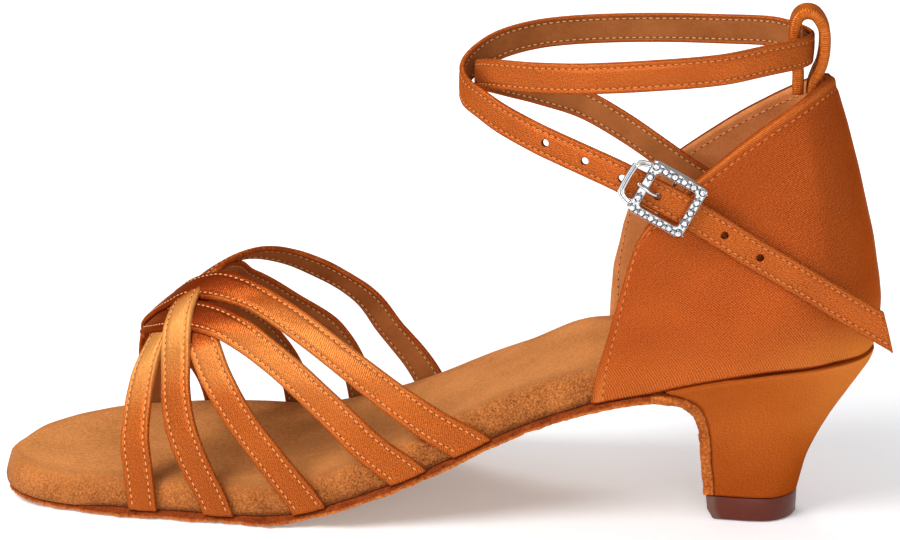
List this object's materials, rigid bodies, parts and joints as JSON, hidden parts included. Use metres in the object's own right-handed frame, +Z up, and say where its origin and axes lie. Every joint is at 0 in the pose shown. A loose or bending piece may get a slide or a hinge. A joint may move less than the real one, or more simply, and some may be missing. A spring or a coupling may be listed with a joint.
{
  "type": "ballroom dance shoe",
  "caption": "Heeled dance sandal with woven satin straps over the toes, a closed heel counter, a crossed ankle strap with a stone-set buckle, and a suede sole.",
  "frame": {"origin": "middle of the top lift's face on the floor", "axes": "+Z up; +X towards the back of the heel, so the toe points along -X; -Y is the outer side of the left foot, where the buckle is"},
  "size_m": [0.2363, 0.0769, 0.138],
  "materials": {
    "outsole": "napped suede",
    "insole": "soft suede",
    "heel": "satin cover",
    "top_lift": "semi-gloss",
    "counter": "satin",
    "vamp_straps": "satin",
    "ankle_strap": "satin",
    "back_loop": "ribbed satin",
    "buckle_frame": "stone-set polished",
    "buckle_prong": "polished"
  },
  "bodies": {
    "root": {"outsole": "outsole", "insole": "insole", "heel": "heel", "top_lift": "top_lift", "counter": "counter", "vamp_straps": "vamp_straps", "ankle_strap": "ankle_strap", "back_loop": "back_loop", "buckle_frame": "buckle_frame", "buckle_prong": "buckle_prong"}
  },
  "joints": []
}
